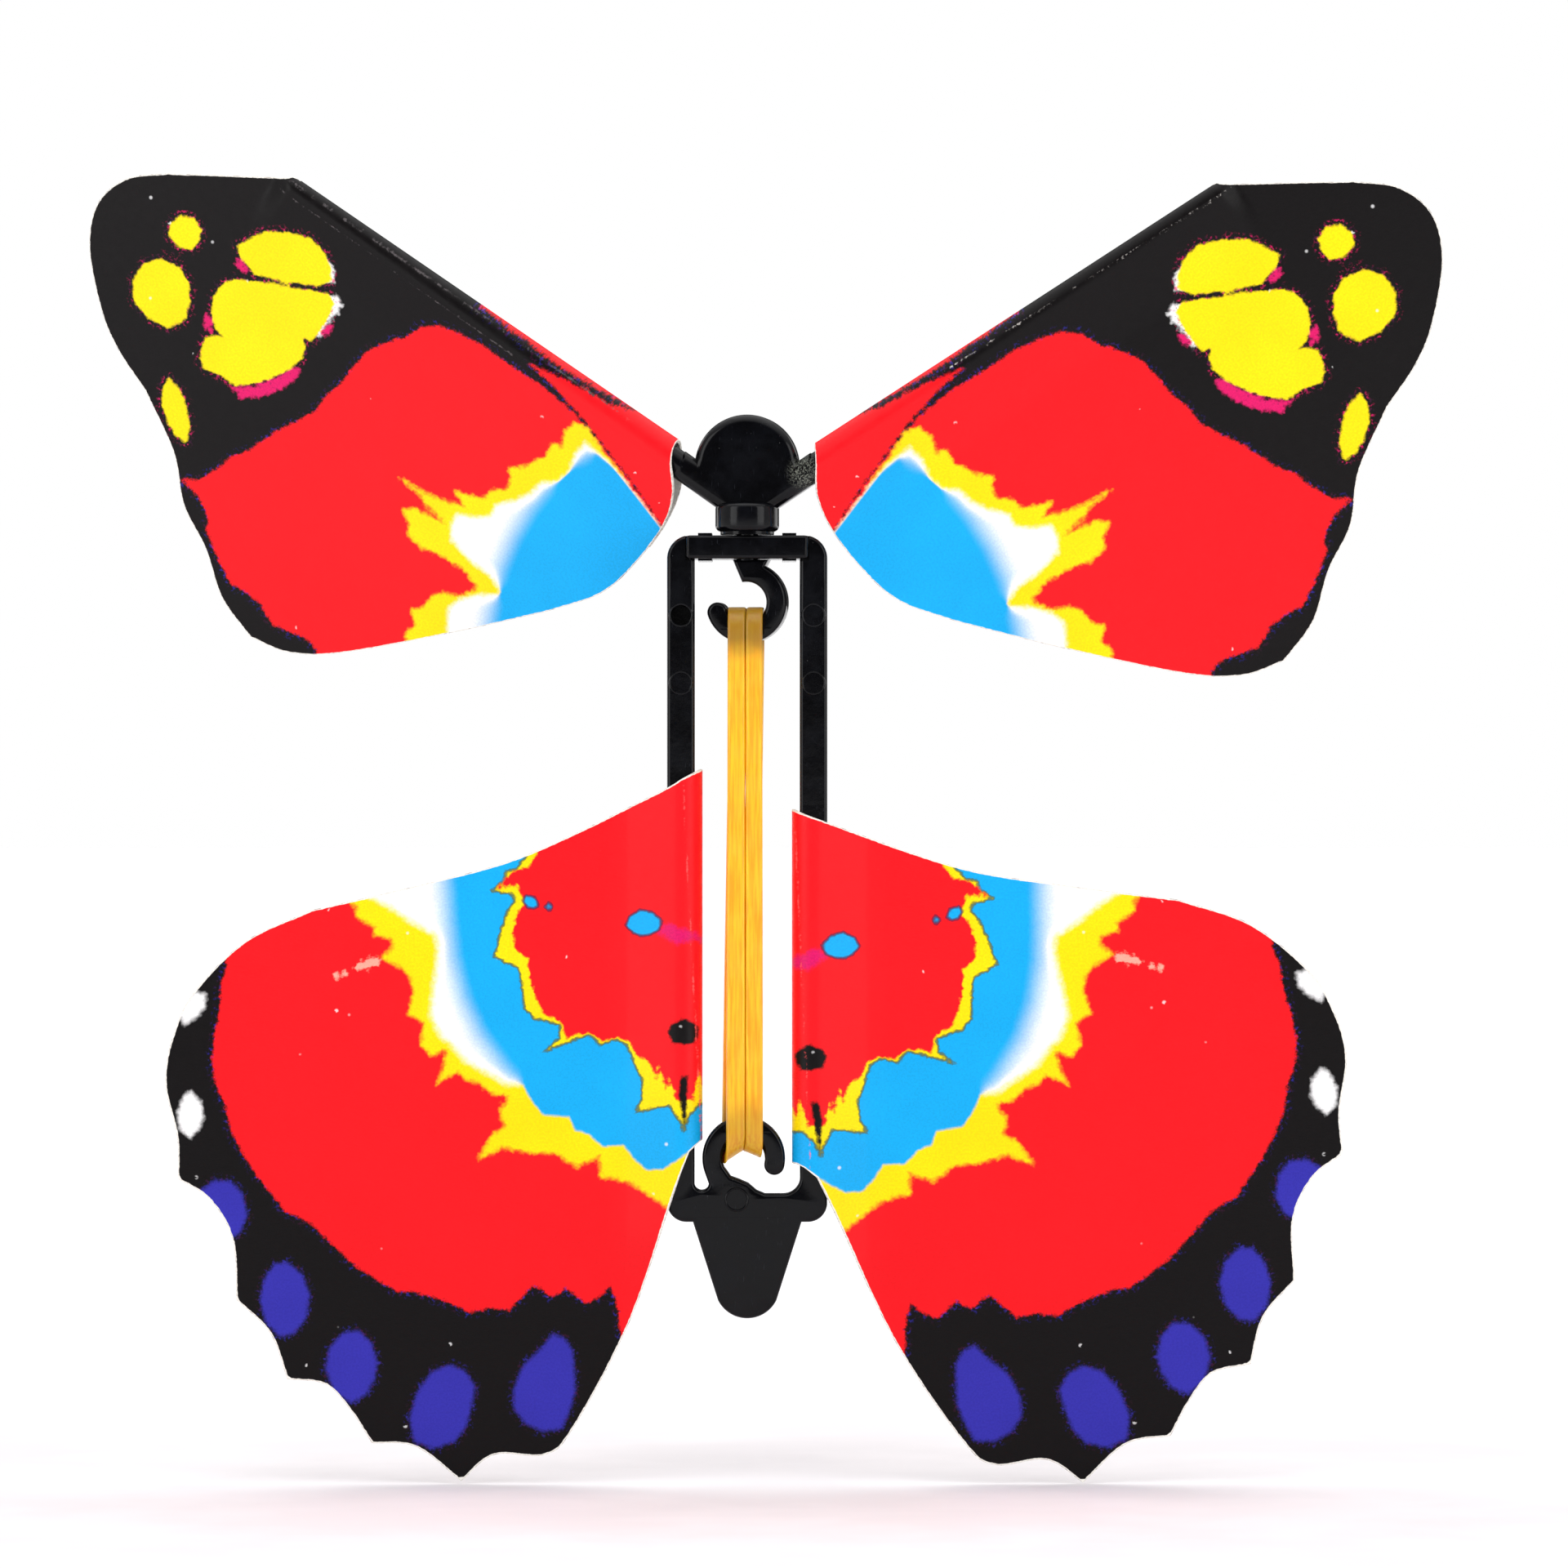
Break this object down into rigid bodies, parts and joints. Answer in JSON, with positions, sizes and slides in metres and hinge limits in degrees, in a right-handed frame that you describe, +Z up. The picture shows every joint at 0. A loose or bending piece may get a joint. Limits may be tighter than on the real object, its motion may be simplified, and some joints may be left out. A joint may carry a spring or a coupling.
{
  "type": "rubber band powered flying butterfly toy",
  "caption": "Wind-up flying butterfly: a rubber motor in a moulded frame turns a rotor that carries the upper card wings, and the lower card wings are folded round the frame's legs.",
  "frame": {"origin": "centre of the flat rear face of the frame's tail, on the middle plane of the frame", "axes": "+Z up along the rotor's axis towards the rotor head, +X to the right seen from the printed front, +Y out of the back of the toy"},
  "size_m": [0.1167, 0.0235, 0.113],
  "materials": {
    "black_plastic": "glossy black moulding with rounded edges, ejector marks and light scuffs",
    "printed_card": "glossy printed card, bright red, yellow and blue on black, with white cut edges",
    "adhesive_strip": "thin double-sided adhesive strip",
    "amber_rubber": "translucent yellow-orange rubber"
  },
  "bodies": {
    "root": {"frame": "black_plastic", "bearing_bar": "black_plastic", "left_rubber_band": "amber_rubber", "right_rubber_band": "amber_rubber"},
    "rotor": {"rotor": "black_plastic"},
    "left_upper": {"left_upper_wing": "printed_card", "left_upper_wing_tape": "adhesive_strip"},
    "right_upper": {"right_upper_wing": "printed_card", "right_upper_wing_tape": "adhesive_strip"},
    "left_lower": {"left_lower_wing": "printed_card", "left_lower_wing_tape": "adhesive_strip"},
    "right_lower": {"right_lower_wing": "printed_card", "right_lower_wing_tape": "adhesive_strip"}
  },
  "joints": [
    {"name": "rotor_spin", "type": "hinge", "parent": "root", "child": "rotor", "pos_m": [0, -0.0013, 0.0621], "axis": [0, 0, 1], "continuous": true, "deforming": ["left_rubber_band", "right_rubber_band"]},
    {"name": "left_upper_feather", "type": "hinge", "parent": "rotor", "child": "left_upper", "pos_m": [0, -0.0013, 0.0641], "axis": [0.8072, -0.1134, -0.5793], "range_deg": [-49, 21]},
    {"name": "right_upper_feather", "type": "hinge", "parent": "rotor", "child": "right_upper", "pos_m": [0, -0.0013, 0.0641], "axis": [0.8258, -0.1161, 0.5519], "range_deg": [-43, 27]},
    {"name": "left_lower_swing", "type": "hinge", "parent": "root", "child": "left_lower", "pos_m": [-0.00568, -0.0013, 0.02], "axis": [0, 0, -1], "range_deg": [-25, 25]},
    {"name": "right_lower_swing", "type": "hinge", "parent": "root", "child": "right_lower", "pos_m": [0.00568, -0.0013, 0.02], "axis": [0, 0, 1], "range_deg": [-25, 25]}
  ]
}
